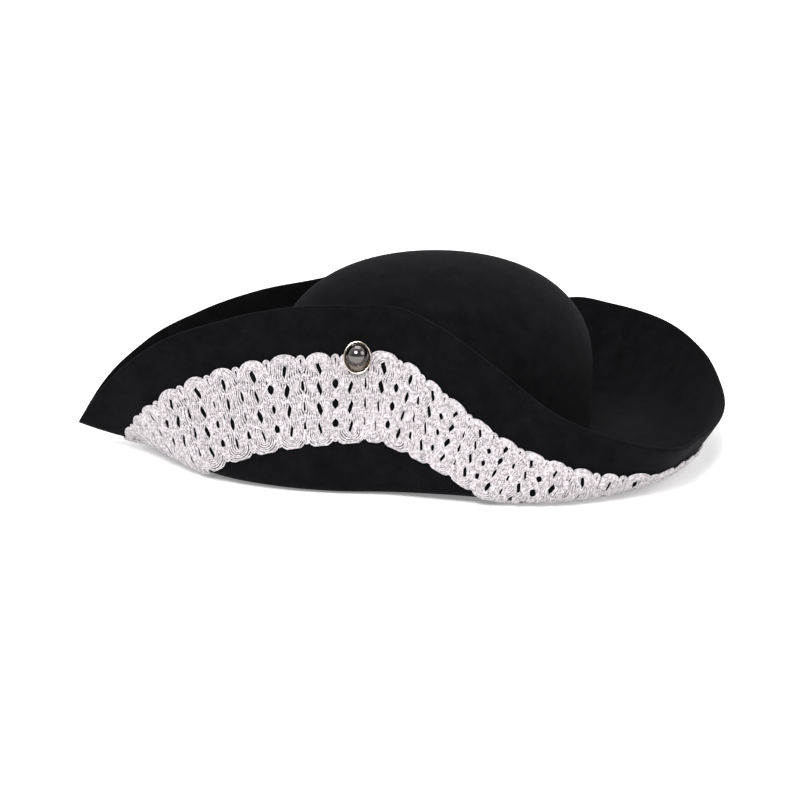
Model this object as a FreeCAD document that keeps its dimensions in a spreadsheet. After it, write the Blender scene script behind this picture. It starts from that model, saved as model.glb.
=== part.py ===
import FreeCAD, Part

import math
import os

import Sketcher

# Tricorn pirate hat in millimetres. +Z is up and Z = 0 is the plane the hat rests on.
# The origin is under the centre of the head opening. The sharp front corner points to -X,
# the rounded back flap to +X, and the flap with the visible stud is on the -Y side.

os.makedirs("parts", exist_ok=True)
doc = FreeCAD.newDocument("pirate_hat")

# Driving dimensions. Every other size in this file is worked out from these.
SIZES = {
    "crown_half_length": 102.5,
    "crown_half_width": 86.5,
    "crown_shoulder": 49.0,
    "crown_height": 123.0,
    "brim_root": 6.5,
    "felt": 2.3,
    "clearance": 0.3,
    "braid_inset": 27.0,
    "braid_width": 56.0,
    "braid_thickness": 0.6,
    "braid_clearance": 0.7,
    "band_height": 30.0,
    "band_thickness": 1.2,
    "stitch_count": 60,
    "stitch_length": 6.0,
    "stitch_diameter": 0.8,
    "stitch_height": 4.0,
    "stud_angle": 238.0,
    "stud_drop": 31.0,
    "head_diameter": 13.5,
    "head_seat_angle": 40.0,
    "collar_diameter": 18.5,
    "collar_depth": 2.8,
    "collar_base": 0.9,
    "collar_flare": 2.0,
    "collar_lip": 0.6,
    "post_diameter": 3.2,
    "washer_diameter": 11.0,
    "washer_thickness": 1.4,
}

sheet = doc.addObject("Spreadsheet::Sheet", "Sizes")
for row, (alias, value) in enumerate(SIZES.items(), start=1):
    sheet.set(f"A{row}", alias)
    sheet.set(f"B{row}", str(value))
    sheet.setAlias(f"B{row}", alias)
doc.recompute()

FELT = sheet.felt
GAP = sheet.clearance
LENGTH = sheet.crown_half_length
WIDTH = sheet.crown_half_width
ROOT = sheet.brim_root

# The brim is one sheet of felt that leaves the crown, runs flat, folds up and ends at its rim.
# Each station is one cross-section of it, standing square to the crown's oval:
# direction round the crown in degrees, rim reach beyond the crown, rim height, wall lean from
# level in degrees, fold reach, length of the straight wall, and how far the floor of the brim
# is lifted to make room for braid under it. 180 is the sharp front corner, 307 and 409 are
# the two back corners.
STATIONS = [
    (180, 127, 21, 24, 80, 40, 2.6),
    (185, 111, 48, 55, 84, 40, 2.6),
    (194, 84, 80, 72, 86, 48, 1.8),
    (206, 52, 99, 82, 80, 58, -0.4),
    (220, 27, 108, 92, 66, 62, -1.2),
    (235, 4, 108, 100, 52, 64, -1.2),
    (250, -3, 107, 102, 44, 64, -0.2),
    (266, 14, 97, 98, 56, 58, 2.0),
    (279, 37, 77, 84, 72, 48, 2.4),
    (289, 63, 55, 68, 80, 34, 2.4),
    (298, 83, 43, 58, 80, 28, 2.4),
    (307, 96, 35, 52, 77, 26, 2.4),
    (322, 89, 31, 55, 74, 26, 2.4),
    (340, 86, 31, 62, 70, 28, 2.4),
    (358, 88, 36, 66, 68, 30, 2.4),
    (372, 96, 44, 66, 68, 34, 2.4),
    (390, 107, 54, 62, 70, 40, 2.4),
    (400, 105, 58, 60, 70, 42, 2.4),
    (409, 97, 61, 58, 70, 44, 2.4),
    (416, 90, 53, 62, 70, 42, 2.4),
    (428, 70, 55, 72, 70, 42, 2.4),
    (444, 30, 77, 90, 62, 52, 2.2),
    (460, 4, 95, 100, 50, 58, 0.4),
    (476, 0, 98, 102, 46, 60, -1.2),
    (490, 12, 93, 98, 54, 60, -1.2),
    (505, 36, 87, 90, 66, 58, -0.6),
    (518, 62, 77, 80, 78, 52, 1.8),
    (529, 90, 62, 70, 84, 46, 2.4),
    (536, 113, 41, 52, 83, 40, 2.6),
    (540, 127, 21, 24, 80, 40, 2.6),
]
FRONT_CORNER = 180
NEAR_CORNER = 307
FAR_CORNER = 409
TURN = 360
LAST = FRONT_CORNER + TURN
DIRECTIONS = [station[0] for station in STATIONS]
COLUMNS = [list(column) for column in zip(*STATIONS)][1:]


def slope(values, index):
    """Slope of a list of station values at one station, one-sided at both ends."""
    last = len(values) - 1
    low, high = max(index - 1, 0), min(index + 1, last)
    if index in (0, last):
        return (values[high] - values[low]) / (DIRECTIONS[high] - DIRECTIONS[low])
    before = DIRECTIONS[index] - DIRECTIONS[low]
    after = DIRECTIONS[high] - DIRECTIONS[index]
    rise_before = (values[index] - values[low]) / before
    rise_after = (values[high] - values[index]) / after
    return (rise_before * after + rise_after * before) / (before + after)


def between_stations(values, direction):
    """Smooth cubic through the station values."""
    index = max(i for i in range(len(DIRECTIONS) - 1) if DIRECTIONS[i] <= direction)
    span = DIRECTIONS[index + 1] - DIRECTIONS[index]
    t = (direction - DIRECTIONS[index]) / span
    start = (1 + 2 * t) * (1 - t) ** 2 * values[index]
    end = t * t * (3 - 2 * t) * values[index + 1]
    leave = t * (1 - t) ** 2 * span * slope(values, index)
    arrive = t * t * (t - 1) * span * slope(values, index + 1)
    return start + end + leave + arrive


def brim_point(direction, v):
    """Middle of the felt: v is 0 at the crown and 1 at the rim."""
    if direction != LAST:
        direction = FRONT_CORNER + (direction - FRONT_CORNER) % TURN
    reach, height, lean, fold, wall, lift = (between_stations(c, direction) for c in COLUMNS)
    lean = math.radians(lean)
    poles = [
        (0, ROOT),
        (0.45 * fold, 1.7 + lift),
        (fold, -4.3 + lift),
        (fold, 6.7 + lift),
        (reach - wall * math.cos(lean), height - wall * math.sin(lean)),
        (reach, height),
    ]
    weights = [math.comb(5, i) * (1 - v) ** (5 - i) * v ** i for i in range(6)]
    out = sum(w * pole[0] for w, pole in zip(weights, poles))
    up = sum(w * pole[1] for w, pole in zip(weights, poles))
    angle = math.radians(direction)
    normal = FreeCAD.Vector(math.cos(angle) / LENGTH, math.sin(angle) / WIDTH, 0).normalize()
    crown = FreeCAD.Vector(LENGTH * math.cos(angle), WIDTH * math.sin(angle), up)
    return crown + normal * out


def brim_normal(direction, v):
    """Unit vector out of the hat's outer, braided side."""
    step = 0.01
    half_degree = 0.5
    low, high = max(v - step, 0), min(v + step, 1)
    along = brim_point(direction, high) - brim_point(direction, low)
    before = brim_point(max(direction - half_degree, FRONT_CORNER), v)
    after = brim_point(min(direction + half_degree, LAST), v)
    normal = (after - before).cross(along).normalize()
    if direction in (FRONT_CORNER, LAST):
        normal.y = 0
        normal.normalize()
    return normal


def skin(directions, rows, lift):
    """Smooth face that follows the brim at a distance from the middle of its felt.

    rows gives, for one direction, the list of v values from the crown side to the rim side.
    """
    grid = []
    for direction in directions:
        grid.append([
            brim_point(direction, v) + brim_normal(direction, v) * lift for v in rows(direction)
        ])
    surface = Part.BSplineSurface()
    surface.interpolate(grid)
    return surface.toShape()


def slab(directions, rows, inner, outer):
    """Closed solid between two skins of the brim."""
    below = skin(directions, rows, inner)
    above = skin(directions, rows, outer)
    faces = [below, above]
    for edge, mate in zip(below.Edges, above.Edges):
        faces.append(Part.makeRuledSurface(edge, mate))
    shell = Part.Shell(faces)
    shell.sewShape()
    solid = Part.Solid(shell)
    if solid.Volume < 0:
        solid.reverse()
    return solid


def spread(first, last, count):
    """Evenly spaced values, both ends included."""
    return [first + (last - first) * i / (count - 1) for i in range(count)]


def add_shape(label, shape):
    feature = doc.addObject("Part::Feature", label)
    feature.Shape = shape
    feature.Label = label
    return feature


def rows_to_rim(direction):
    """The felt has the same rows in every direction."""
    return spread(0, 1, 31)


# Felt. The crown is blocked from the same sheet as the brim; here it is a dome of its own,
# and the brim is three flaps that meet along the folds at the three corners.
def dome_profile(lift):
    """Half outline of the crown, from its foot up the wall and over to the axis."""
    power = 2.3
    steps = 16
    rise = sheet.crown_height - sheet.crown_shoulder + lift
    points = []
    for angle in spread(0, math.pi / 2, steps):
        out = (LENGTH + lift) * max(math.cos(angle), 0) ** (2 / power)
        up = sheet.crown_shoulder + rise * math.sin(angle) ** (2 / power)
        points.append(FreeCAD.Vector(out, 0, up))
    points[-1].x = 0
    return points


def felt_crown():
    foot = ROOT + FELT / 2 + GAP
    outer = dome_profile(FELT / 2)
    inner = dome_profile(-FELT / 2)
    outer_curve = Part.BSplineCurve()
    outer_curve.interpolate(outer)
    inner_curve = Part.BSplineCurve()
    inner_curve.interpolate(inner)
    outer_foot = FreeCAD.Vector(outer[0].x, 0, foot)
    inner_foot = FreeCAD.Vector(inner[0].x, 0, foot)
    wire = Part.Wire([
        Part.makeLine(outer_foot, outer[0]),
        outer_curve.toShape(),
        Part.makeLine(outer[-1], inner[-1]),
        inner_curve.toShape(),
        Part.makeLine(inner[0], inner_foot),
        Part.makeLine(inner_foot, outer_foot),
    ])
    round_crown = Part.Face(wire).revolve(FreeCAD.Vector(), FreeCAD.Vector(0, 0, 1), TURN)
    to_oval = FreeCAD.Matrix()
    to_oval.scale(1, WIDTH / LENGTH, 1)
    return round_crown.transformGeometry(to_oval)


def felt_flap(first, last):
    spacing = 2
    count = round((last - first) / spacing) + 1
    margin = GAP / 2
    return slab(spread(first + margin, last - margin, count), rows_to_rim, -FELT / 2, FELT / 2)


def one_side(shape, side):
    """The part of a shape that lies on one side of the hat's middle plane; side is 1 or -1."""
    big = 500
    low = GAP / 2 if side > 0 else -GAP / 2 - big
    half_space = Part.makeBox(2 * big, big, big, FreeCAD.Vector(-big, low, -big / 2))
    return shape.common(half_space)


# Braid edges. Both run round the outer side of the brim at a distance from the rim measured
# square to it, so they are found by walking down each cross-section from the edge before.
def walk_down(edge_values, directions, distance):
    """v values of the line that lies a distance below the line of edge_values."""
    line = [brim_point(d, v) for d, v in zip(directions, edge_values)]
    step = 0.01
    neighbours = 14
    found = []
    for index, direction in enumerate(directions):
        near = line[max(index - neighbours, 0):index + neighbours + 1]
        v = edge_values[index]
        gone = 0
        while v > step:
            point = brim_point(direction, v - step)
            now = min(distance_to_segment(point, a, b) for a, b in zip(near, near[1:]))
            if now >= distance:
                v -= step * (distance - gone) / (now - gone)
                break
            gone = now
            v -= step
        found.append(v)
    return found


def distance_to_segment(point, start, end):
    along = end - start
    share = (point - start).dot(along) / along.dot(along)
    return (start + along * min(max(share, 0), 1)).distanceToPoint(point)


EDGE_COUNT = 91
EDGE_DIRECTIONS = spread(FRONT_CORNER, LAST, EDGE_COUNT)
RIM = [1] * len(EDGE_DIRECTIONS)
BRAID_TOP = walk_down(RIM, EDGE_DIRECTIONS, sheet.braid_inset)
BRAID_LOW = BRAID_TOP
WALKS = 4
for _ in range(WALKS):
    BRAID_LOW = walk_down(BRAID_LOW, EDGE_DIRECTIONS, sheet.braid_width / WALKS)


def edge_at(values, direction):
    """Value of an edge line at any direction."""
    spacing = TURN / (len(values) - 1)
    place = (direction - FRONT_CORNER) % TURN / spacing
    index = min(int(place), len(values) - 2)
    return values[index] + (values[index + 1] - values[index]) * (place - index)


def braid_rows(direction):
    """Rows of the braid, from its lower edge to its upper one."""
    return spread(edge_at(BRAID_LOW, direction), edge_at(BRAID_TOP, direction), 19)


def braid():
    """Tape round the whole brim, in two lengths that meet at the front and at the back."""
    inner = FELT / 2 + sheet.braid_clearance
    outer = inner + sheet.braid_thickness
    gap = 0.2
    lengths = []
    for first, side in ((FRONT_CORNER, -1), (TURN, 1)):
        directions = spread(first + gap, first + TURN / 2 - gap, EDGE_COUNT)
        lengths.append(one_side(slab(directions, braid_rows, inner, outer), side))
    return Part.makeCompound(lengths)


# Studs. Each one pins a side flap to the crown: a ball head in a cupped collar outside,
# a post through the felt, and a washer inside the crown.
def bound(kind, label, **expressions):
    """Primitive whose properties follow the sheet."""
    feature = doc.addObject(kind, label)
    for name, expression in expressions.items():
        feature.setExpression(name, expression)
    return feature


def cut(label, base, tool):
    feature = doc.addObject("Part::Cut", label)
    feature.Base = base
    feature.Tool = tool
    return feature


def head_model():
    """Ball with a flat seat, centred on the axis with the seat at Z = 0."""
    ball = bound("Part::Sphere", "stud_ball", Radius="Sizes.head_diameter / 2")
    ball.setExpression("Angle1", "-Sizes.head_seat_angle")
    ball.setExpression(
        "Placement.Base.z", "Sizes.head_diameter / 2 * sin(Sizes.head_seat_angle * 1 deg)"
    )
    return ball


def collar_model():
    """Cup that flares from its seat, with a bore for the post."""
    cup = bound(
        "Part::Cone", "collar_cup", Radius1="Sizes.collar_diameter / 2 - Sizes.collar_flare",
        Radius2="Sizes.collar_diameter / 2", Height="Sizes.collar_depth",
    )
    hollow = bound(
        "Part::Cone", "collar_hollow",
        Radius1="Sizes.collar_diameter / 2 - Sizes.collar_flare - Sizes.collar_lip",
        Radius2="Sizes.collar_diameter / 2 - Sizes.collar_lip", Height="Sizes.collar_depth",
    )
    hollow.setExpression("Placement.Base.z", "Sizes.collar_base")
    bore = bound(
        "Part::Cylinder", "collar_bore", Radius="Sizes.post_diameter / 2 + Sizes.clearance",
        Height="Sizes.collar_depth",
    )
    return cut("collar_model", cut("collar_shell", cup, hollow), bore)


def washer_model():
    body = doc.addObject("PartDesign::Body", "washer_model")
    sketch = body.newObject("Sketcher::SketchObject", "washer_rings")
    plane = next(f for f in body.Origin.OriginFeatures if f.Role == "XY_Plane")
    sketch.AttachmentSupport = [(plane, "")]
    sketch.MapMode = "FlatFace"
    radii = ("Sizes.washer_diameter / 2", "Sizes.post_diameter / 2 + Sizes.clearance")
    first_radii = (5, 3)
    for index, (first, radius) in enumerate(zip(first_radii, radii)):
        sketch.addGeometry(Part.Circle(FreeCAD.Vector(), FreeCAD.Vector(0, 0, 1), first))
        sketch.addConstraint(Sketcher.Constraint("Coincident", index, 3, -1, 1))
        ring = sketch.addConstraint(Sketcher.Constraint("Radius", index, first))
        sketch.setExpression(f"Constraints[{ring}]", radius)
    pad = body.newObject("PartDesign::Pad", "washer_pad")
    pad.Profile = sketch
    pad.setExpression("Length", "Sizes.washer_thickness")
    body.Tip = pad
    return body


def post_model():
    return bound(
        "Part::Cylinder", "post_model", Radius="Sizes.post_diameter / 2",
        Height=str(POST_LENGTH),
    )


SEAT = FELT / 2 + sheet.braid_clearance + sheet.braid_thickness + 2 * GAP
STUD_DIRECTIONS = (sheet.stud_angle, LAST - (sheet.stud_angle - FRONT_CORNER))


def stud_placement(direction):
    """Origin on the middle of the felt, Z along the stud and out of the hat."""
    drops = walk_down(RIM, EDGE_DIRECTIONS, sheet.stud_drop)
    v = edge_at(drops, direction)
    out = brim_normal(direction, v)
    return FreeCAD.Placement(
        brim_point(direction, v), FreeCAD.Rotation(FreeCAD.Vector(0, 0, 1), out)
    )


def at_height(place, height):
    return place.multiply(FreeCAD.Placement(FreeCAD.Vector(0, 0, height), FreeCAD.Rotation()))


def crown_depth(place):
    """How far down the stud's axis the inside of the crown wall is."""
    far_enough = 60
    axis = Part.makeLine(place.Base, at_height(place, -far_enough).Base)
    inside = axis.common(felt_crown())
    return max(place.Base.distanceToPoint(vertex.Point) for vertex in inside.Vertexes)


STUDS = [stud_placement(direction) for direction in STUD_DIRECTIONS]
# The washer is flat and the crown's wall is curved, so it stands this far off along the axis.
WASHER_GAP = 2.9
DEPTH = max(crown_depth(place) for place in STUDS) + WASHER_GAP
POST_LENGTH = DEPTH + sheet.washer_thickness + SEAT + sheet.collar_base


def grouped(label, model, height):
    """The same part at both studs, as one group of separate solids."""
    solids = []
    for place in STUDS:
        solid = model.Shape.copy()
        solid.Placement = at_height(place, height).multiply(solid.Placement)
        solids.append(solid)
    return add_shape(label, Part.makeCompound(solids))


def post_holes():
    beyond = 10
    holes = []
    for place in STUDS:
        hole = Part.makeCylinder(sheet.post_diameter / 2 + GAP, DEPTH + 2 * beyond)
        hole.Placement = at_height(place, -DEPTH - beyond)
        holes.append(hole)
    return holes


def drilled(shape):
    for hole in post_holes():
        shape = shape.cut(hole)
    return shape


# Sweatband: a woven strip sewn round the inside of the head opening.
def oval_block(label, inset):
    """Upright block on the crown's oval, drawn in by an inset."""
    rim = doc.addObject("Part::Ellipse", label + "_outline")
    rim.setExpression("MajorRadius", f"Sizes.crown_half_length - {inset}")
    rim.setExpression("MinorRadius", f"Sizes.crown_half_width - {inset}")
    rim.setExpression("Placement.Base.z", "Sizes.brim_root + Sizes.felt / 2 + Sizes.clearance")
    block = doc.addObject("Part::Extrusion", label)
    block.Base = rim
    block.Dir = FreeCAD.Vector(0, 0, 1)
    block.setExpression("LengthFwd", "Sizes.band_height")
    block.Solid = True
    return block


def sweatband():
    face = "(Sizes.felt / 2 + Sizes.clearance)"
    outside = oval_block("band_outside", face)
    inside = oval_block("band_inside", f"({face} + Sizes.band_thickness)")
    return cut("sweatband", outside, inside)


def sweatband_stitches():
    """Row of running stitches on the band's face, a little above its lower edge."""
    count = int(sheet.stitch_count)
    inset = FELT / 2 + GAP + sheet.band_thickness + GAP + sheet.stitch_diameter / 2
    height = ROOT + FELT / 2 + GAP + sheet.stitch_height
    stitches = []
    for index in range(count):
        angle = 2 * math.pi * (index + 0.5) / count
        place = FreeCAD.Vector(
            (LENGTH - inset) * math.cos(angle), (WIDTH - inset) * math.sin(angle), height
        )
        along = FreeCAD.Vector(
            -(LENGTH - inset) * math.sin(angle), (WIDTH - inset) * math.cos(angle), 0
        ).normalize()
        start = place - along * (sheet.stitch_length / 2)
        stitches.append(Part.makeCylinder(
            sheet.stitch_diameter / 2, sheet.stitch_length, start, along
        ))
    return Part.makeCompound(stitches)


nodes = [
    add_shape("felt_crown", drilled(felt_crown())),
    add_shape("felt_flap_near", drilled(one_side(felt_flap(FRONT_CORNER, NEAR_CORNER), -1))),
    add_shape("felt_flap_back", felt_flap(NEAR_CORNER, FAR_CORNER)),
    add_shape(
        "felt_flap_far", drilled(one_side(felt_flap(FAR_CORNER, LAST), 1))
    ),
    add_shape("braid", drilled(braid())),
    sweatband(),
    add_shape("sweatband_stitches", sweatband_stitches()),
]
models = [head_model(), collar_model(), post_model(), washer_model()]
doc.recompute()
head, collar, post, washer = models
nodes += [
    grouped("stud_heads", head, SEAT + sheet.collar_base + GAP),
    grouped("stud_collars", collar, SEAT),
    grouped("stud_posts", post, -DEPTH - sheet.washer_thickness),
    grouped("stud_washers", washer, -DEPTH - sheet.washer_thickness),
]
doc.recompute()

for item in doc.Objects:
    if "Invalid" in item.State or "Error" in item.State:
        raise RuntimeError(f"{item.Label} is not sound: {item.State}")
for node in nodes:
    if node.Shape.isNull() or not node.Shape.isValid():
        raise RuntimeError(f"{node.Label} has no valid shape")
    node.Shape.exportStep(f"parts/{node.Label}.step")
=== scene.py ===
import math

import bmesh
import bpy
import numpy as np
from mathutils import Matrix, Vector


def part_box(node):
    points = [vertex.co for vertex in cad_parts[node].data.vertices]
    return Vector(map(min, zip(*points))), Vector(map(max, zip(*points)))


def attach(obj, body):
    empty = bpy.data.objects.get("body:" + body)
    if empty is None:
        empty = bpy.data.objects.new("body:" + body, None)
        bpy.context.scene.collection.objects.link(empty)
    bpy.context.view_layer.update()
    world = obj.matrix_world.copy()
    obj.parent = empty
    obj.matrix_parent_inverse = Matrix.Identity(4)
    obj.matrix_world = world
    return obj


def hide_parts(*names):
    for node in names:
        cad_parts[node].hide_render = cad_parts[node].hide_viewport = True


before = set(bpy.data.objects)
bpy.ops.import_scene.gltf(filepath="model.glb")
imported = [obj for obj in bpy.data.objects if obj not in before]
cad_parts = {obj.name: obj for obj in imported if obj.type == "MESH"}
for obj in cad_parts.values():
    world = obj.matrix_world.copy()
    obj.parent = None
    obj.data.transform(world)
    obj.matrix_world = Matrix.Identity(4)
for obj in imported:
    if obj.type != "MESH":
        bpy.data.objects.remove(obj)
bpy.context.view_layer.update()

# Lengths are in millimetres until a mesh is made, in metres. Places and sizes of lights and
# camera, and the distances of bumps, are in metres.
MM = 0.001

# The hat's form, the same as in the CAD source. A station is a cross-section of the brim:
# direction round the crown, rim reach, rim height, wall lean, fold reach, wall length, lift.
CROWN_LENGTH = 102.5
CROWN_WIDTH = 86.5
SHOULDER = 49.0
CROWN_HEIGHT = 123.0
DOME_POWER = 2.3
ROOT = 6.5
FELT = 2.3
FRONT = 180
STATIONS = [
    (180, 127, 21, 24, 80, 40, 2.6),
    (185, 111, 48, 55, 84, 40, 2.6),
    (194, 84, 80, 72, 86, 48, 1.8),
    (206, 52, 99, 82, 80, 58, -0.4),
    (220, 27, 108, 92, 66, 62, -1.2),
    (235, 4, 108, 100, 52, 64, -1.2),
    (250, -3, 107, 102, 44, 64, -0.2),
    (266, 14, 97, 98, 56, 58, 2.0),
    (279, 37, 77, 84, 72, 48, 2.4),
    (289, 63, 55, 68, 80, 34, 2.4),
    (298, 83, 43, 58, 80, 28, 2.4),
    (307, 96, 35, 52, 77, 26, 2.4),
    (322, 89, 31, 55, 74, 26, 2.4),
    (340, 86, 31, 62, 70, 28, 2.4),
    (358, 88, 36, 66, 68, 30, 2.4),
    (372, 96, 44, 66, 68, 34, 2.4),
    (390, 107, 54, 62, 70, 40, 2.4),
    (400, 105, 58, 60, 70, 42, 2.4),
    (409, 97, 61, 58, 70, 44, 2.4),
    (416, 90, 53, 62, 70, 42, 2.4),
    (428, 70, 55, 72, 70, 42, 2.4),
    (444, 30, 77, 90, 62, 52, 2.2),
    (460, 4, 95, 100, 50, 58, 0.4),
    (476, 0, 98, 102, 46, 60, -1.2),
    (490, 12, 93, 98, 54, 60, -1.2),
    (505, 36, 87, 90, 66, 58, -0.6),
    (518, 62, 77, 80, 78, 52, 1.8),
    (529, 90, 62, 70, 84, 46, 2.4),
    (536, 113, 41, 52, 83, 40, 2.6),
    (540, 127, 21, 24, 80, 40, 2.6),
]
DIRECTIONS = np.array([row[0] for row in STATIONS], float)
COLUMNS = np.array([row[1:] for row in STATIONS], float).T

# Poles of a section near its fold: a share of the fold's reach, and heights before the lift.
HEEL_SHARE = 0.45
HEEL_HEIGHT = 1.7
FOLD_BOTTOM = -4.3
FOLD_TOP = 6.7

# Faint unevenness of the felt: of the brim in millimetres, of the crown's width as a share,
# and of the crown's height in millimetres. A wave is its rate and its start.
RIPPLE = 0.2
RIPPLE_ROUND = (7, 1.3)
RIPPLE_UP = (5.5, 0.4)
DENT = 0.006
DENT_ROUND = (2, 0.7)
SLANT = 0.5
SLANT_ROUND = (1, -0.5)

BRAID_INSET = 27.0
BRAID_WIDTH = 56.0
STUD_DIRECTIONS = (238.0, 482.0)
STUD_DROP = 31.0


# ---------------------------------------------------------------- brim as a function
def station_slopes():
    """Slope of each column at each station, from the stations on its two sides."""
    gaps = np.diff(DIRECTIONS)
    rises = np.diff(COLUMNS, axis=1) / gaps
    inner = (rises[:, :-1] * gaps[1:] + rises[:, 1:] * gaps[:-1]) / (gaps[1:] + gaps[:-1])
    return np.concatenate([rises[:, :1], inner, rises[:, -1:]], axis=1)


SLOPES = station_slopes()


def section_values(direction):
    """Reach, height, lean, fold, wall and lift at any directions."""
    passed = np.searchsorted(DIRECTIONS, direction, side="right")
    index = np.clip(passed - 1, 0, len(DIRECTIONS) - 2)
    span = DIRECTIONS[index + 1] - DIRECTIONS[index]
    t = (direction - DIRECTIONS[index]) / span
    start = (1 + 2 * t) * (1 - t) ** 2 * COLUMNS[:, index]
    end = t * t * (3 - 2 * t) * COLUMNS[:, index + 1]
    leave = t * (1 - t) ** 2 * span * SLOPES[:, index]
    arrive = t * t * (t - 1) * span * SLOPES[:, index + 1]
    return start + end + leave + arrive


def wave(value, shape):
    """Sine wave of a value, where shape is the wave's rate and its start."""
    rate, start = shape
    return np.sin(rate * value + start)


def brim_mid(direction, v):
    """Middle of the felt: v is 0 at the crown and 1 at the rim."""
    direction, v = np.broadcast_arrays(np.asarray(direction, float), np.asarray(v, float))
    wrapped = FRONT + (direction - FRONT) % 360
    wrapped = np.where(direction == FRONT + 360, direction, wrapped)
    reach, height, lean, fold, wall, lift = section_values(wrapped)
    lean = np.radians(lean)
    poles = [
        (np.zeros_like(v), ROOT + 0 * v),
        (HEEL_SHARE * fold, HEEL_HEIGHT + lift),
        (fold, FOLD_BOTTOM + lift),
        (fold, FOLD_TOP + lift),
        (reach - wall * np.cos(lean), height - wall * np.sin(lean)),
        (reach, height),
    ]
    degree = len(poles) - 1
    weights = [
        math.comb(degree, i) * (1 - v) ** (degree - i) * v ** i for i in range(degree + 1)
    ]
    out = sum(w * pole[0] for w, pole in zip(weights, poles))
    up = sum(w * pole[1] for w, pole in zip(weights, poles))
    angle = np.radians(wrapped)
    across, along = np.cos(angle) / CROWN_LENGTH, np.sin(angle) / CROWN_WIDTH
    size = np.hypot(across, along)
    ripple = RIPPLE * wave(angle, RIPPLE_ROUND) * wave(v, RIPPLE_UP) * v
    x = CROWN_LENGTH * np.cos(angle) + out * across / size
    y = CROWN_WIDTH * np.sin(angle) + out * along / size
    return np.stack([x, y, up + ripple], axis=-1)


def unit(vectors):
    """The same vectors with a length of 1."""
    return vectors / np.maximum(np.linalg.norm(vectors, axis=-1, keepdims=True), 1e-9)


# Steps in degrees and in v for the slopes of the brim.
TURN_STEP = 0.4
V_STEP = 0.01


def brim_normal(direction, v):
    """Unit vector out of the braided, outer side of the felt."""
    turn = brim_mid(direction + TURN_STEP, v) - brim_mid(direction - TURN_STEP, v)
    outer = brim_mid(direction, np.minimum(v + V_STEP, 1))
    inner = brim_mid(direction, np.maximum(v - V_STEP, 0))
    return unit(np.cross(turn, outer - inner))


# ---------------------------------------------------------------- lines square to the rim
EDGE_DIRECTIONS = np.linspace(FRONT, FRONT + 360, 241)
EDGE_COUNT = len(EDGE_DIRECTIONS)
V_ROWS = np.linspace(1, 0, 121)
# How many points of the line, on each side, are searched for the nearest one.
NEIGHBOURS = 34


def walk_down(edge, distance):
    """v of the line that lies a distance below the line of edge, measured square to it."""
    line = brim_mid(EDGE_DIRECTIONS, edge)
    distance = np.broadcast_to(distance, EDGE_COUNT)
    found = np.zeros(EDGE_COUNT)
    for index in range(EDGE_COUNT):
        low, high = max(index - NEIGHBOURS, 0), min(index + NEIGHBOURS + 1, EDGE_COUNT)
        start, along = line[low:high - 1], np.diff(line[low:high], axis=0)
        rows = V_ROWS[V_ROWS < edge[index]]
        points = brim_mid(EDGE_DIRECTIONS[index], rows)[:, None, :]
        share = ((points - start) * along).sum(-1) / (along * along).sum(-1)
        nearest = start + along * np.clip(share, 0, 1)[..., None]
        gap = np.linalg.norm(points - nearest, axis=-1).min(axis=1)
        gap = np.maximum.accumulate(np.concatenate([[0], gap]))
        found[index] = np.interp(distance[index], gap, np.concatenate([[edge[index]], rows]))
    return found


def smoothed(values, passes):
    """Values round a closed line, each blended with the two beside it."""
    for _ in range(passes):
        ring = np.concatenate([values[-2:-1], values, values[1:2]])
        values = (ring[:-2] + 2 * ring[1:-1] + ring[2:]) / 4
    return values


# ---------------------------------------------------------------- mesh helpers
def make_mesh(name, points, faces, material, smooth=True):
    """Object made of points in millimetres."""
    mesh = bpy.data.meshes.new(name)
    mesh.from_pydata((np.asarray(points).reshape(-1, 3) * MM).tolist(), [], faces)
    mesh.update()
    for polygon in mesh.polygons:
        polygon.use_smooth = smooth
    mesh.materials.append(material)
    piece = bpy.data.objects.new(name, mesh)
    bpy.context.collection.objects.link(piece)
    return piece


def grid_faces(rows, columns, wrap_rows, wrap_columns, offset=0):
    """Quads of a grid of points, as one array of four indices a face."""
    row_count = rows if wrap_rows else rows - 1
    column_count = columns if wrap_columns else columns - 1
    i, j = np.meshgrid(np.arange(row_count), np.arange(column_count), indexing="ij")
    i2, j2 = (i + 1) % rows, (j + 1) % columns
    quads = np.stack([i * columns + j, i2 * columns + j, i2 * columns + j2, i * columns + j2], -1)
    return quads.reshape(-1, 4) + offset


def tubes(name, centres, normals, radius, material, sides=6, closed=False):
    """One mesh of many threads: centres and normals are (threads, points, 3)."""
    if closed:
        ahead = np.roll(centres, -1, axis=1) - np.roll(centres, 1, axis=1)
    else:
        ahead = np.gradient(centres, axis=1)
    tangent = unit(ahead)
    side = unit(np.cross(tangent, normals))
    up = np.cross(side, tangent)
    turn = np.linspace(0, 2 * math.pi, sides, endpoint=False)
    ring = (side[:, :, None] * np.cos(turn)[:, None] + up[:, :, None] * np.sin(turn)[:, None])
    points = centres[:, :, None] + ring * radius
    threads, length = centres.shape[:2]
    one = grid_faces(length, sides, closed, True)
    faces = (one[None] + (np.arange(threads) * length * sides)[:, None, None]).reshape(-1, 4)
    return make_mesh(name, points, faces.tolist(), material)


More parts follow.
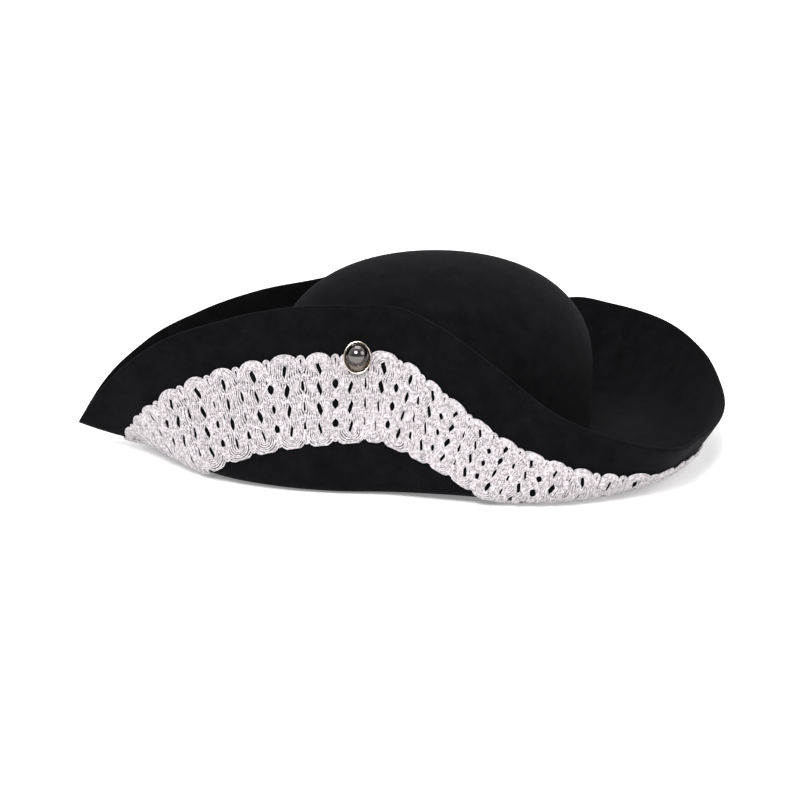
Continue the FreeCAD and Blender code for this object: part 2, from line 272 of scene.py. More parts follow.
# ---------------------------------------------------------------- materials
class Shader:
    """A Principled material and the few nodes that feed it."""

    def __init__(self, name, **inputs):
        self.material = bpy.data.materials.new(name)
        self.material.use_nodes = True
        self.nodes = self.material.node_tree.nodes
        self.links = self.material.node_tree.links
        self.principled = self.nodes["Principled BSDF"]
        self.coords = self.nodes.new("ShaderNodeTexCoord")
        for key, value in inputs.items():
            self.principled.inputs[key.replace("_", " ")].default_value = value

    def noise(self, scale, detail=4.0, roughness=0.6, stretch=(1, 1, 1)):
        mapping = self.nodes.new("ShaderNodeMapping")
        mapping.inputs["Scale"].default_value = stretch
        self.links.new(self.coords.outputs["Object"], mapping.inputs["Vector"])
        node = self.nodes.new("ShaderNodeTexNoise")
        node.inputs["Scale"].default_value = scale
        node.inputs["Detail"].default_value = detail
        node.inputs["Roughness"].default_value = roughness
        self.links.new(mapping.outputs["Vector"], node.inputs["Vector"])
        return node.outputs["Fac"]

    def ramp(self, source, stops):
        node = self.nodes.new("ShaderNodeValToRGB")
        ramp = node.color_ramp
        for index, (place, colour) in enumerate(stops):
            stop = ramp.elements[index] if index < 2 else ramp.elements.new(place)
            stop.position = place
            stop.color = (*colour, 1)
        self.links.new(source, node.inputs["Fac"])
        return node.outputs["Color"]

    def colour(self, source, stops):
        self.links.new(self.ramp(source, stops), self.principled.inputs["Base Color"])

    def vary(self, name, source, low, high):
        node = self.nodes.new("ShaderNodeMapRange")
        node.inputs["To Min"].default_value = low
        node.inputs["To Max"].default_value = high
        self.links.new(source, node.inputs["Value"])
        self.links.new(node.outputs["Result"], self.principled.inputs[name])

    def bump(self, *layers):
        """Layers are (height source, strength, distance in metres), deepest first."""
        below = None
        for source, strength, distance in layers:
            node = self.nodes.new("ShaderNodeBump")
            node.inputs["Strength"].default_value = strength
            node.inputs["Distance"].default_value = distance
            self.links.new(source, node.inputs["Height"])
            if below is not None:
                self.links.new(below, node.inputs["Normal"])
            below = node.outputs["Normal"]
        self.links.new(below, self.principled.inputs["Normal"])


def felt_material():
    """Pressed wool felt: matte black with a short nap, faint mottling and matted fibres."""
    shader = Shader(
        "black_felt", Roughness=0.95, Specular_IOR_Level=0.03,
        Sheen_Weight=0.028, Sheen_Roughness=0.5, Sheen_Tint=(0.5, 0.5, 0.55, 1),
    )
    mottle = shader.noise(scale=90, detail=5, roughness=0.65)
    shader.colour(mottle, [
        (0.3, (0.0022, 0.0022, 0.0026)), (0.7, (0.0048, 0.0048, 0.0054)),
    ])
    matted = shader.noise(scale=260, detail=3)
    fibres = shader.noise(scale=1500, roughness=0.75, stretch=(1, 1, 0.55))
    shader.bump((matted, 0.16, 0.0006), (fibres, 0.5, 0.00025))
    return shader.material


# Share of the braid's colour left where its painted shade between the threads is darkest.
DARKEST_PAINTED_SHADE = 0.3


def braid_material(name, tint):
    """Silvery off-white rayon thread, with a fine twist, a few bright metallic specks, and shade
    between its threads painted into its colour.
    """
    shader = Shader(
        name, Specular_IOR_Level=0.5, Sheen_Weight=0.25, Sheen_Roughness=0.4,
        Sheen_Tint=(1, 1, 1, 1),
    )
    shade = shader.noise(scale=650, roughness=0.85)
    # Painted shade: the colour darkens at random to stand in for shade between the threads; the
    # same noise also drives the bump.
    shader.colour(shade, [
        (0.4, tuple(DARKEST_PAINTED_SHADE * channel for channel in tint)), (0.6, tint),
    ])
    speck = shader.noise(scale=1700, detail=2, roughness=0.5)
    shader.vary("Roughness", speck, low=0.2, high=0.75)
    twist = shader.noise(scale=2400, detail=2)
    shader.bump((shade, 0.4, 0.0004), (twist, 0.6, 0.0002))
    return shader.material


def metal_material(name, colour, roughness):
    """Polished plated metal with light handling marks."""
    shader = Shader(name, Base_Color=(*colour, 1), Metallic=1.0)
    marks = shader.noise(scale=700, roughness=0.7, stretch=(1, 1, 0.2))
    shader.vary("Roughness", marks, low=roughness * 0.7, high=roughness * 1.6)
    waves = shader.noise(scale=350, detail=2, roughness=0.5)
    shader.bump((waves, 0.03, 0.0002))
    return shader.material


def ribbon_material():
    """Black grosgrain of the sweatband: fine ribs across the band."""
    shader = Shader("grosgrain", Roughness=0.7, Sheen_Weight=0.15, Sheen_Roughness=0.4)
    grain = shader.noise(scale=500, detail=3)
    shader.colour(grain, [(0.3, (0.016, 0.016, 0.018)), (0.7, (0.03, 0.03, 0.033))])
    ribs = shader.nodes.new("ShaderNodeTexWave")
    ribs.bands_direction = "Z"
    ribs.inputs["Scale"].default_value = 260
    ribs.inputs["Distortion"].default_value = 0.3
    shader.links.new(shader.coords.outputs["Object"], ribs.inputs["Vector"])
    shader.bump((ribs.outputs["Fac"], 0.6, 0.0003), (grain, 0.2, 0.0002))
    return shader.material


def thread_material():
    """Black sewing thread with a fine twist."""
    shader = Shader("sewing_thread", Roughness=0.6, Sheen_Weight=0.2)
    twist = shader.noise(scale=1800, detail=2)
    shader.colour(twist, [(0.3, (0.03, 0.03, 0.033)), (0.7, (0.07, 0.07, 0.075))])
    shader.bump((twist, 0.5, 0.0002))
    return shader.material


# ---------------------------------------------------------------- felt body
DOME_ROWS = 34
WALL_ROWS = 9
CORNER_ROWS = 8
BRIM_ROWS = 66
# Scale of the ring that closes the crown's top.
TOP_SCALE = 0.004
# Where the rounded corner between crown and brim ends: a height over the root, and a v.
CORNER_HEIGHT = 9
CORNER_V = 0.055
# Directions away from the front crease: closer together beside it, then even.
CREASE_STEPS = np.array([0.35, 0.8, 1.4, 2.1, 3.0, 4.0, 5.1])
EVEN_START = 6.3
EVEN_COUNT = 400
# The cut edge at the rim: angles of its points, and its depth as a share of half its width.
CUT_ANGLES = (-62, -25, 25, 62)
CUT_DEPTH = 0.75


def crown_rows():
    """Scale of the oval and height of each row of the crown, from its top down to its foot."""
    rows = []
    for angle in np.linspace(math.pi / 2, 0, DOME_ROWS):
        scale = max(math.cos(angle), 0) ** (2 / DOME_POWER)
        up = SHOULDER + (CROWN_HEIGHT - SHOULDER) * math.sin(angle) ** (2 / DOME_POWER)
        rows.append((max(scale, TOP_SCALE), up))
    for up in np.linspace(SHOULDER, ROOT + CORNER_HEIGHT, WALL_ROWS)[1:]:
        rows.append((1.0, up))
    return rows


def felt_middle(directions):
    """Grid of points through the middle of the felt, from the top of the crown to the rim."""
    angle = np.radians(directions)
    oval = np.stack([
        CROWN_LENGTH * np.cos(angle), CROWN_WIDTH * np.sin(angle), np.zeros_like(angle)
    ], axis=-1)
    columns = []
    for scale, up in crown_rows():
        level = math.sin(math.pi * min(up / CROWN_HEIGHT, 1))
        dent = 1 + DENT * wave(angle, DENT_ROUND) * level
        row = oval * scale * dent[:, None]
        row[:, 2] = up + SLANT * wave(angle, SLANT_ROUND) * scale * (1 - scale)
        columns.append(row)
    foot = columns[-1]
    corner = oval + [0, 0, ROOT]
    first = brim_mid(directions, CORNER_V)
    for t in np.linspace(0, 1, CORNER_ROWS)[1:-1]:
        columns.append((1 - t) ** 2 * foot + 2 * t * (1 - t) * corner + t * t * first)
    for v in np.linspace(CORNER_V, 1, BRIM_ROWS):
        columns.append(brim_mid(directions, v))
    return np.stack(columns, axis=1)


def felt_body(material):
    """One moulded sheet of felt: crown and brim, with a softly rounded cut edge at the rim."""
    directions = np.concatenate([
        [0], CREASE_STEPS, np.linspace(EVEN_START, 360 - EVEN_START, EVEN_COUNT),
        360 - CREASE_STEPS[::-1],
    ]) + FRONT
    middle = felt_middle(directions)
    ring = np.concatenate([middle[-1:], middle, middle[:1]])
    turn = ring[2:] - ring[:-2]
    down = np.gradient(middle, axis=1)
    normal = unit(np.cross(turn, down))
    normal[:, 0] = [0, 0, -1]
    half = FELT / 2
    upper = middle - normal * half
    lower = middle + normal * half
    edge = unit(middle[:, -1] - middle[:, -2])
    rounding = []
    for angle in np.radians(CUT_ANGLES):
        rounding.append(
            middle[:, -1] + normal[:, -1] * half * math.sin(angle)
            + edge * half * CUT_DEPTH * math.cos(angle)
        )
    rows = np.concatenate([upper, np.stack(rounding, axis=1), lower[:, ::-1]], axis=1)
    count, length = rows.shape[:2]
    faces = grid_faces(count, length, True, False)
    points = rows.reshape(-1, 3)
    body = make_mesh("felt_body", points, faces.tolist(), material)
    close_poles(body, count, length)
    return body


def close_poles(piece, count, length):
    """Fills the small ring at the top of each side of the crown."""
    mesh = bmesh.new()
    mesh.from_mesh(piece.data)
    mesh.verts.ensure_lookup_table()
    for column in (0, length - 1):
        ring = [mesh.verts[row * length + column] for row in range(count)]
        bmesh.ops.contextual_create(mesh, geom=ring)
    bmesh.ops.recalc_face_normals(mesh, faces=mesh.faces)
    for face in mesh.faces:
        face.smooth = True
    mesh.to_mesh(piece.data)
    mesh.free()


# ---------------------------------------------------------------- lace braid
# The lace lying flat: threads in a ring, holes in a row across it, and lengths in millimetres.
RING_THREADS = 7
HOLES = 4
HOLE_PITCH = 12.2
FIRST_HOLE = 9.6
HOLE_HALF = 3.5
SCALLOP = 6.7
THREAD = 0.57
PUFF = 0.95
FRONT_FADE = 55.0
TIE_THREAD = 0.34
TIE_STEP = 0.8
TIES = 4
QUARTERS = (0, 0.25, 0.5, 0.75, 1)
# Distance between large scallops: at the back, how much more it is at the front, the angle
# from the back where it changes, and how gradual the change is, in degrees.
BACK_PITCH = 16.6
FRONT_EXTRA = 1.9
PITCH_CHANGE = 118
PITCH_BLEND = 6

# Directions at which the near flap turns down, and at which its rim has come down.
TURN_DOWN = 274
LOW_RIM = 318
# Angle from the back, on either side, where the columns stand least square, and its spread.
SIDE_TURN = 98
SIDE_SPREAD = 24
# Gaps from the felt to the threads, and from the threads to the floor.
BRAID_GAP = 0.35
FLOOR_GAP = 0.05
# Columns in the braid's table, its middle one, and the two that its lean is measured between.
TABLE_COLUMNS = 29
MIDDLE_COLUMN = 14
LEAN_COLUMNS = (11, 17)
MOST_LEAN = 1.3
# Beside a hole, the radius of the ring's innermost thread, and the outermost's gap to its edge.
HOLE_CORE = 1.75
# At a crossing, the innermost thread's radius, and how far the outermost passes the ring's edge.
KNOT_CORE = 0.5
KNOT_SPREAD = 0.3
# How far the crossings shift across the braid, from the middle of a ring to its edge.
CHEVRON = 2.4
# The small loops: radii of their two threads, where they turn, and the length of their legs.
PICOT_RADII = (0.95, 1.95)
PICOT_TOP = 4.2
PICOT_LEG = 6.0
# Unevenness of the rings: their shift and sway along the braid, how far the bundles rise and
# sink, and the ranges of the holes' sizes, the scallops' depth and each thread's width.
SHIFT = 0.35
SWAY = 0.4
SWAY_SPREAD = 0.3
SWING = 0.22
HOLE_SIZES = (0.6, 1.2)
SCALLOP_SIZES = (0.92, 1.06)
THREAD_WIDTHS = (0.97, 1.03)


class BraidField:
    """Turns a place on the flat braid, along it and across it, into a place on the hat."""

    def __init__(self):
        top = smoothed(walk_down(np.ones(EDGE_COUNT), inset_at(EDGE_DIRECTIONS)), passes=6)
        walks = 5
        low = top
        for _ in range(walks):
            low = smoothed(walk_down(low, width_at(EDGE_DIRECTIONS) / walks), passes=4)
        self.shares = np.linspace(0, 1, TABLE_COLUMNS)
        v = top[:, None] + (low - top)[:, None] * self.shares
        points = brim_mid(EDGE_DIRECTIONS[:, None], v)
        steps = np.linalg.norm(np.diff(points, axis=1), axis=-1)
        run = np.concatenate([np.zeros((len(v), 1)), np.cumsum(steps, axis=1)], axis=1)
        run /= run[:, -1:]
        self.table = np.stack([np.interp(self.shares, run[i], v[i]) for i in range(len(v))])
        centre = brim_mid(EDGE_DIRECTIONS, self.table[:, MIDDLE_COLUMN])
        steps = np.linalg.norm(np.diff(centre, axis=0), axis=-1)
        self.run = np.concatenate([[0], np.cumsum(steps)])
        self.length = self.run[-1]
        pitch = pitch_at((EDGE_DIRECTIONS[1:] + EDGE_DIRECTIONS[:-1]) / 2)
        count = np.concatenate([[0], np.cumsum(steps / pitch)])
        self.rings = round(count[-1])
        self.ring_count = count * self.rings / count[-1]
        self.shear = self.square_columns(centre)

    def square_columns(self, centre):
        """How far columns move along, for each millimetre across, to stand square to the edges."""
        along = unit(np.gradient(centre, axis=0))
        near, far = (brim_mid(EDGE_DIRECTIONS, self.table[:, k]) for k in LEAN_COLUMNS)
        across = far - near
        share = (across * along).sum(-1)
        rest = np.linalg.norm(across - share[:, None] * along, axis=-1)
        lean = np.clip(share / rest, -MOST_LEAN, MOST_LEAN)
        from_front = np.minimum(self.run, self.length - self.run) / FRONT_FADE
        fade = np.clip(from_front, 0, 1)
        return -lean * squareness_at(EDGE_DIRECTIONS) * fade * fade * (3 - 2 * fade)

    def ring_place(self, number):
        """Distance along the braid of a ring's edge, by its number."""
        return np.interp(number, self.ring_count, self.run)

    def place(self, along, across):
        """Direction and v of places given in millimetres of the flat braid."""
        along = along + np.interp(along, self.run, self.shear) * (across - BRAID_WIDTH / 2)
        direction = np.interp(along % self.length, self.run, EDGE_DIRECTIONS)
        spacing = EDGE_DIRECTIONS[1] - EDGE_DIRECTIONS[0]
        row = np.clip((direction - FRONT) / spacing, 0, EDGE_COUNT - 1.001)
        column = np.clip(across / BRAID_WIDTH, 0, 1) * (len(self.shares) - 1.001)
        i, j = row.astype(int), column.astype(int)
        a, b = row - i, column - j
        table = self.table
        low = table[i, j] * (1 - b) + table[i, j + 1] * b
        high = table[i + 1, j] * (1 - b) + table[i + 1, j + 1] * b
        return direction, low * (1 - a) + high * a

    def points(self, along, across, height):
        """Points on the hat and their normals, for places on the flat braid."""
        direction, v = self.place(along, across)
        normal = brim_normal(direction, v)
        base = FELT / 2 + BRAID_GAP + THREAD
        points = brim_mid(direction, v) + normal * (base + height)[..., None]
        points[..., 2] = np.maximum(points[..., 2], THREAD + FLOOR_GAP)
        return points, normal


def swell(directions, middle, spread):
    """1 at the middle and 0 well away from it."""
    return np.exp(-((directions - middle) / spread) ** 2)


def inset_at(directions):
    """Strip of felt left between the rim and the braid, wider where the flap turns down."""
    wider = 4.0 * swell(directions, TURN_DOWN, 11)
    narrower = 10.0 * swell(directions, LOW_RIM, 24)
    return BRAID_INSET + wider - narrower


def width_at(directions):
    """The braid is sewn a little gathered where the flap turns down."""
    return BRAID_WIDTH - 21.0 * swell(directions, TURN_DOWN, 21)


def pitch_at(directions):
    """Distance from one large scallop to the next: the lace is pulled longer at the front."""
    from_back = abs(directions - FRONT - 180)
    return BACK_PITCH + FRONT_EXTRA / (1 + np.exp((PITCH_CHANGE - from_back) / PITCH_BLEND))


def squareness_at(directions):
    """Share of the way to square that the columns stand: less where the flap turns down."""
    from_back = abs(directions - FRONT - 180)
    return 1 - 0.65 * swell(from_back, SIDE_TURN, SIDE_SPREAD)


def openness(across, sizes):
    """1 beside the middle of a hole and 0 beside a crossing; sizes scales each hole."""
    level = np.clip(np.round((across - FIRST_HOLE) / HOLE_PITCH), 0, HOLES - 1).astype(int)
    away = (across - FIRST_HOLE - level * HOLE_PITCH) / HOLE_HALF
    return np.exp(-away ** 4) * sizes[level]


def ring_threads(field, rng, rings):
    """Nested oval threads: each ring is one large scallop above, one below, and the two
    bundles between them, drawn together beside each hole and apart at each crossing."""
    straight = np.linspace(SCALLOP, BRAID_WIDTH - SCALLOP, 40)
    arc = np.radians(np.linspace(0, 180, 13)[1:-1])
    along, across, height = [], [], []
    for ring in rings:
        start, end = field.ring_place(ring), field.ring_place(ring + 1)
        half = (end - start) / 2
        centre = (start + end) / 2 + rng.uniform(-SHIFT, SHIFT)
        hole_radius = np.linspace(HOLE_CORE, half - HOLE_CORE, RING_THREADS)
        knot_radius = np.linspace(KNOT_CORE, half + KNOT_SPREAD, RING_THREADS)
        sway = SWAY * (-1) ** ring + rng.uniform(-SWAY_SPREAD, SWAY_SPREAD)
        stretch = rng.uniform(*SCALLOP_SIZES)
        inner = rng.uniform(*HOLE_SIZES, HOLES)
        outer = rng.uniform(*HOLE_SIZES, HOLES)
        depth = SCALLOP / (hole_radius[-1] * SCALLOP_SIZES[1])
        for thread in range(RING_THREADS):
            share = thread / (RING_THREADS - 1)
            sizes = inner * (1 - share) + outer * share
            hole = openness(straight + CHEVRON * share, sizes)
            wide = hole_radius[thread] * hole + knot_radius[thread] * (1 - hole)
            wide = wide * rng.uniform(*THREAD_WIDTHS)
            lean = sway * np.sin(2 * math.pi * (straight - FIRST_HOLE) / HOLE_PITCH)
            pile = math.sin(math.pi * (thread + 0.6) / (RING_THREADS + 0.2))
            swing = SWING * np.sin(2 * math.pi * straight / HOLE_PITCH + 2.1 * thread + ring)
            lift = PUFF * pile * (0.5 + 0.5 * hole) + swing
            top, low = wide[0] * stretch, wide[-1] * stretch
            top_x, top_y = top * np.cos(arc), SCALLOP - top * depth * np.sin(arc)
            low_x = -low * np.cos(arc)
            low_y = BRAID_WIDTH - SCALLOP + low * depth * np.sin(arc)
            run = np.concatenate([-wide + lean, low_x, (wide + lean)[::-1], top_x])
            along.append(centre + run)
            across.append(np.concatenate([straight, low_y, straight[::-1], top_y]))
            flat = np.full(len(arc), PUFF * pile)
            height.append(np.concatenate([lift, flat, lift[::-1], flat]))
    return np.array(along), np.array(across), np.array(height)


def picot_threads(field, rng, rings):
    """Small loops between the large scallops, on both edges."""
    along, across, height = [], [], []
    turn = np.radians(np.linspace(0, 180, 11))
    leg = np.linspace(1, 0, 7)[:-1]
    for ring in rings:
        centre = field.ring_place(ring) + rng.uniform(-0.3, 0.3)
        for radius in PICOT_RADII:
            leg_x = radius * (0.35 + 0.65 * (1 - leg))
            leg_y = PICOT_TOP + PICOT_LEG * leg
            x = np.concatenate([-leg_x, -radius * np.cos(turn), leg_x[::-1]])
            loop_y = PICOT_TOP - 1.25 * radius * np.sin(turn)
            y = np.concatenate([leg_y, loop_y, leg_y[::-1]])
            for edge in (y, BRAID_WIDTH - y):
                along.append(centre + x)
                across.append(edge)
                height.append(np.full(len(x), 0.55) + 0.25 * (radius < 1))
    return np.array(along), np.array(across), np.array(height)


def tie_threads(field, rng, first, last):
    """Fine threads that run along the braid and cross the bundles between the holes."""
    along, across, height = [], [], []
    start, end = field.ring_place(first), field.ring_place(last)
    number = np.linspace(first, last, int((end - start) / TIE_STEP))
    x = field.ring_place(number)
    dip = 0.5 + 0.5 * np.cos(2 * math.pi * number)
    for level in range(HOLES - 1):
        middle = FIRST_HOLE + HOLE_PITCH * (level + 0.5) - CHEVRON * dip
        for strand in range(TIES):
            angle = 2 * math.pi * (number * (4 + 0.7 * strand) + strand / TIES)
            wide = 1.5 + 0.5 * np.sin(number * 2.7 + strand * 1.9 + level)
            along.append(x)
            across.append(middle + wide * np.sin(angle) + rng.uniform(-0.4, 0.4))
            height.append(0.2 + 0.45 * np.cos(angle * 1.5 + strand))
    return np.array(along), np.array(across), np.array(height)


def braid(materials):
    """The lace in four lengths, so that no one mesh is too heavy."""
    field = BraidField()
    rng = np.random.default_rng(7)
    bounds = [round(field.rings * share) for share in QUARTERS]
    pieces = []
    for number, (first, last) in enumerate(zip(bounds, bounds[1:]), start=1):
        rings = range(first, last)
        main = tubes(
            f"braid_scallops_{number}", *field.points(*ring_threads(field, rng, rings)),
            THREAD, materials[0], closed=True,
        )
        picots = tubes(
            f"braid_picots_{number}", *field.points(*picot_threads(field, rng, rings)),
            THREAD, materials[0],
        )
        ties = tubes(
            f"braid_ties_{number}", *field.points(*tie_threads(field, rng, first, last)),
            TIE_THREAD, materials[1], sides=5,
        )
        pieces += [main, picots, ties]
    return pieces


# ---------------------------------------------------------------- studs
# Height of the collar's seat over the middle of the felt, and of the ball's seat over that.
SEAT = FELT / 2 + 2.1
BALL_SEAT = 0.9
# The ball's radius, the angle at which it is cut off below, and how far it sits up the slope.
BALL_RADIUS = 6.75
BALL_CUT = -42
BALL_RAISE = 1.2
# A turned outline ends this far from the axis.
AXIS_GAP = 0.02
# The collar's bore and flat floor, its rolled lip, and the share of its width that it keeps.
BORE = 1.9
DISH_IN = 6.6
LIP_RADIUS = 0.65
LIP_CENTRE = (9.35, 2.1)
COLLAR_SQUEEZE = 0.84


def turned(name, profile, place, material, around, squeeze=1.0):
    """Solid of revolution: profile is (radius, height) in millimetres, on the stud's axis.

    squeeze is how much of its width it keeps across the hat.
    """
    origin, axis = place
    side = unit(np.cross(axis, [0, 0, 1.0]))
    third = np.cross(axis, side)
    turn = np.linspace(0, 2 * math.pi, around, endpoint=False)[:, None]
    radius, height = np.array(profile, float).T
    points = (
        origin + height[None, :, None] * axis
        + radius[None, :, None] * (
            squeeze * np.cos(turn)[..., None] * side + np.sin(turn)[..., None] * third
        )
    )
    faces = grid_faces(around, len(profile), True, False).tolist()
    return make_mesh(name, points, faces, material)


def stud_place(direction):
    """Point on the middle of the felt and the axis of the stud there."""
    drops = walk_down(np.ones(EDGE_COUNT), STUD_DROP)
    v = np.interp(direction, EDGE_DIRECTIONS, drops)
    return brim_mid(direction, v), brim_normal(direction, v)


def raised(place, distance):
    """The same place moved up the slope of the flap."""
    origin, axis = place
    slope = unit(np.array([0, 0, 1.0]) - axis * axis[2])
    return origin + slope * distance, axis


def ball_profile(radius, seat):
    """Ball that is cut off flat where it stands."""
    angles = np.radians(np.linspace(BALL_CUT, 90, 26))
    low = math.sin(math.radians(BALL_CUT)) * radius
    outline = [(AXIS_GAP, seat)]
    for angle in angles:
        width = max(radius * math.cos(angle), AXIS_GAP)
        outline.append((width, seat + radius * math.sin(angle) - low))
    return outline


def collar_profile(seat):
    """Dished washer with a rolled lip."""
    top = (BORE, seat + BALL_SEAT)
    outline = [top, (BORE, seat), (DISH_IN, seat), (8.2, seat + 0.5), (9.3, seat + 1.5)]
    for angle in np.radians(np.linspace(-60, 190, 12)):
        x = LIP_CENTRE[0] + LIP_RADIUS * math.cos(angle)
        outline.append((x, seat + LIP_CENTRE[1] + LIP_RADIUS * math.sin(angle)))
    outline += [(8.0, seat + 1.3), (DISH_IN, seat + 0.95), top]
    return outline


def studs(ball, collar):
    """Ball and collar of each stud."""
    pieces = []
    for name, direction in zip(("near", "far"), STUD_DIRECTIONS):
        place = stud_place(direction)
        head = turned(
            f"stud_ball_{name}", ball_profile(BALL_RADIUS, SEAT + BALL_SEAT),
            raised(place, BALL_RAISE), ball, around=64,
        )
        cup = turned(
            f"stud_collar_{name}", collar_profile(SEAT), place, collar,
            around=64, squeeze=COLLAR_SQUEEZE,
        )
        pieces.append((head, cup))
    return pieces


# ---------------------------------------------------------------- sweatband
# The ribbon's thickness, its gap to the felt, the points of its grid and its puckers.
BAND = 1.2
BAND_GAP = 0.3
BAND_ROWS = 15
BAND_POINTS = 360
PUCKERS = 30
STITCHES = 60
# Radius of the thread.
STITCH_THREAD = 0.4
# Half of a stitch, as an angle in radians.
STITCH_HALF = 3.0 / 95
STITCH_POINTS = 9


def sweatband(material):
    """Ribbon sewn inside the crown's foot, with soft edges and a slight pucker."""
    low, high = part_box("sweatband")
    bottom, top = low[2] / MM, high[2] / MM
    inset = FELT / 2 + BAND_GAP + BAND / 2
    across = np.linspace(-1, 1, BAND_ROWS)
    height = (bottom + top) / 2 + across * (top - bottom) / 2
    angle = np.linspace(0, 2 * math.pi, BAND_POINTS, endpoint=False)
    pucker = 0.1 * np.sin(PUCKERS * angle)[:, None] * (across ** 2)[None, :]
    oval = np.stack([np.cos(angle), np.sin(angle)], axis=-1)
    size = np.array([CROWN_LENGTH - inset, CROWN_WIDTH - inset])
    sides = []
    for offset in (BAND / 2, -BAND / 2):
        soft = offset * np.sqrt(np.maximum(1 - across ** 8, 0.05))
        reach = pucker - 0.1 + soft[None, :]
        flat = oval[:, None, :] * (size + reach[..., None])
        level = np.broadcast_to(height[None, :, None], flat.shape[:2] + (1,))
        sides.append(np.concatenate([flat, level], axis=-1))
    rows = np.concatenate([sides[0], sides[1][:, ::-1]], axis=1)
    faces = grid_faces(*rows.shape[:2], True, True).tolist()
    return make_mesh("sweatband_ribbon", rows, faces, material)


def stitches(material):
    """Running stitch along the band: each stitch is a small arched thread."""
    low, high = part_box("sweatband_stitches")
    level = (low[2] + high[2]) / 2 / MM
    inset = FELT / 2 + BAND_GAP + BAND + 0.25
    share = np.linspace(-1, 1, STITCH_POINTS)
    middle = (np.arange(STITCHES) + 0.5) * 2 * math.pi / STITCHES
    angle = middle[:, None] + STITCH_HALF * share[None, :]
    arch = inset + 0.5 * (1 - share ** 2)[None, :] - 0.1
    x = (CROWN_LENGTH - arch) * np.cos(angle)
    y = (CROWN_WIDTH - arch) * np.sin(angle)
    z = np.full_like(x, level)
    centres = np.stack([x, y, z], axis=-1)
    normals = unit(np.stack([-np.cos(angle), -np.sin(angle), 0 * angle], axis=-1))
    return tubes("sweatband_thread", centres, normals, STITCH_THREAD, material, sides=8)


# ---------------------------------------------------------------- scene
# Half the width of the floor, in millimetres.
FLOOR = 4000
# Each light's name, place in metres, power in watts and size in metres.
LIGHTS = (
    ("key", (-0.55, -1.2, 1.3), 34, 0.7),
    ("fill", (1.3, -0.9, 0.9), 10, 1.0),
    ("top", (0.1, 0.4, 1.7), 12, 1.2),
)
LIGHT_AIM = (0, 0, 0.05)
# The camera's angles in degrees, its distance from the crown's middle, and how far to the left
# of that and below it the camera aims, in metres.
AZIMUTH = -8.5
ELEVATION = 14.5
DISTANCE = 1.1
CROWN_MIDDLE = (0, 0, 0.053)
AIM_LEFT = 0.0222
AIM_DOWN = 0.0252
LENS = 75.7
SENSOR = 36
# The room's brightness: between two places across it, and its value at each.
SHADE_FROM = (-0.5, 0.1)
SHADE_TO = (0.3, 1.05)


def add_floor():
    """Pale ground under the hat."""
    shader = Shader(
        "pale_floor", Roughness=0.9, Specular_IOR_Level=0.1,
        Emission_Color=(1, 1, 1, 1), Emission_Strength=0.25,
    )
    shade = shader.noise(scale=3, detail=2, roughness=0.5)
    shader.colour(shade, [(0.3, (0.93, 0.93, 0.93)), (0.7, (0.95, 0.95, 0.95))])
    points = [(-FLOOR, -FLOOR, 0), (FLOOR, -FLOOR, 0), (FLOOR, FLOOR, 0), (-FLOOR, FLOOR, 0)]
    floor = make_mesh("floor", points, [[0, 1, 2, 3]], shader.material, smooth=False)


def add_light(name, place, power, size):
    """Square area light that faces the hat."""
    lamp = bpy.data.lights.new(name, "AREA")
    lamp.energy = power
    lamp.size = size
    light = bpy.data.objects.new(name, lamp)
    light.location = place
    light.rotation_euler = track(LIGHT_AIM - np.array(place))
    bpy.context.collection.objects.link(light)


def track(aim):
    """Rotation that turns a light or a camera to face along a vector."""
    return Vector(aim).to_track_quat("-Z", "Y").to_euler()


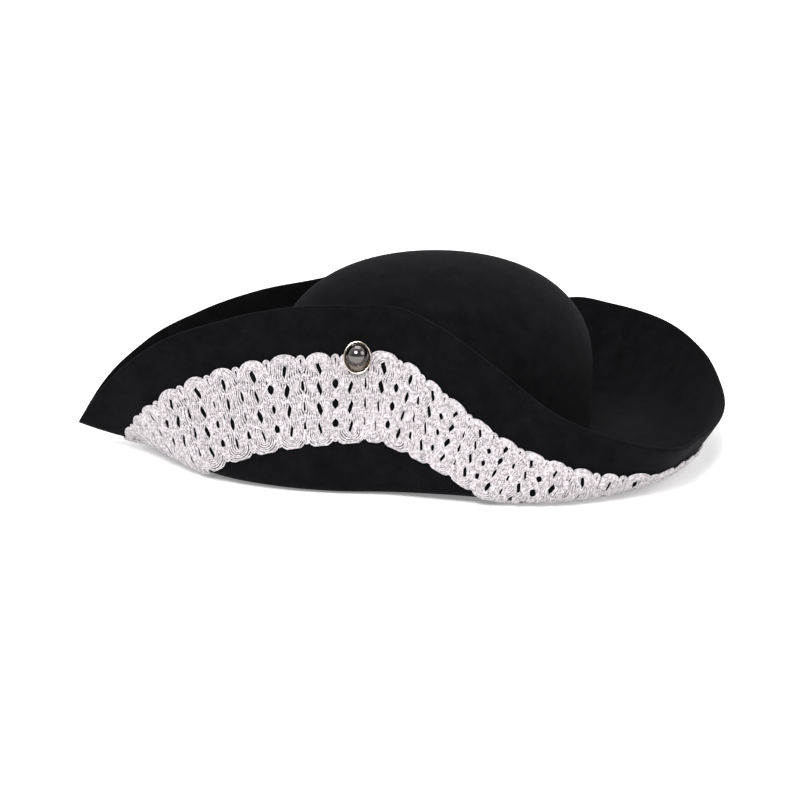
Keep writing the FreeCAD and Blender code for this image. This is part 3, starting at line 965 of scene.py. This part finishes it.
def add_world():
    """A white room behind the hat that darkens towards the camera's side."""
    world = bpy.data.worlds.new("studio")
    world.use_nodes = True
    nodes, links = world.node_tree.nodes, world.node_tree.links
    coords = nodes.new("ShaderNodeTexCoord")
    split = nodes.new("ShaderNodeSeparateXYZ")
    shade = nodes.new("ShaderNodeMapRange")
    for end, place, level in zip(("Min", "Max"), SHADE_FROM, SHADE_TO):
        shade.inputs[f"From {end}"].default_value = place
        shade.inputs[f"To {end}"].default_value = level
    links.new(coords.outputs["Generated"], split.inputs["Vector"])
    links.new(split.outputs["Y"], shade.inputs["Value"])
    links.new(shade.outputs["Result"], nodes["Background"].inputs["Strength"])
    nodes["Background"].inputs["Color"].default_value = (1, 1, 1, 1)
    bpy.context.scene.world = world
    bpy.context.scene.view_settings.view_transform = "Standard"


def add_camera():
    """Level with the brim and a little above it, turned slightly to show the front corner."""
    azimuth, elevation = math.radians(AZIMUTH), math.radians(ELEVATION)
    forward = np.array([
        -math.sin(azimuth) * math.cos(elevation), math.cos(azimuth) * math.cos(elevation),
        -math.sin(elevation),
    ])
    right = np.array([math.cos(azimuth), math.sin(azimuth), 0])
    up = np.cross(right, forward)
    crown_middle = np.array(CROWN_MIDDLE)
    place = crown_middle - forward * DISTANCE
    aim = crown_middle - right * AIM_LEFT - up * AIM_DOWN - place
    camera = bpy.data.objects.new("camera", bpy.data.cameras.new("camera"))
    camera.location = place
    camera.rotation_euler = track(aim)
    camera.data.lens = LENS
    camera.data.sensor_width = SENSOR
    bpy.context.collection.objects.link(camera)
    bpy.context.scene.camera = camera


def build():
    """Makes every piece, with what it replaces and its body, and then the stage."""
    add_camera()
    black = felt_material()
    white = (
        braid_material("braid_thread", tint=(0.68, 0.63, 0.655)),
        braid_material("braid_tie", tint=(0.74, 0.69, 0.715)),
    )
    ball = metal_material("dark_nickel", colour=(0.13, 0.12, 0.115), roughness=0.1)
    nickel = metal_material("pale_nickel", colour=(0.78, 0.71, 0.62), roughness=0.17)
    steel = metal_material("plain_steel", colour=(0.55, 0.55, 0.56), roughness=0.35)

    felt = felt_body(black)
    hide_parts("felt_crown", "felt_flap_near", "felt_flap_back", "felt_flap_far")
    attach(felt, "root")

    lace = braid(white)
    for piece in lace:
        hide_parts("braid")
        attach(piece, "root")

    for head, cup in studs(ball, nickel):
        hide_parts("stud_heads")
        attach(head, "root")
        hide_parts("stud_collars")
        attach(cup, "root")

    band = sweatband(ribbon_material())
    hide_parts("sweatband")
    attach(band, "root")
    sewing = stitches(thread_material())
    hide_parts("sweatband_stitches")
    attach(sewing, "root")

    for node, material in (("stud_posts", steel), ("stud_washers", nickel)):
        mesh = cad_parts[node].data
        mesh.materials.clear()
        mesh.materials.append(material)

    add_floor()
    add_world()
    for light in LIGHTS:
        add_light(*light)


build()
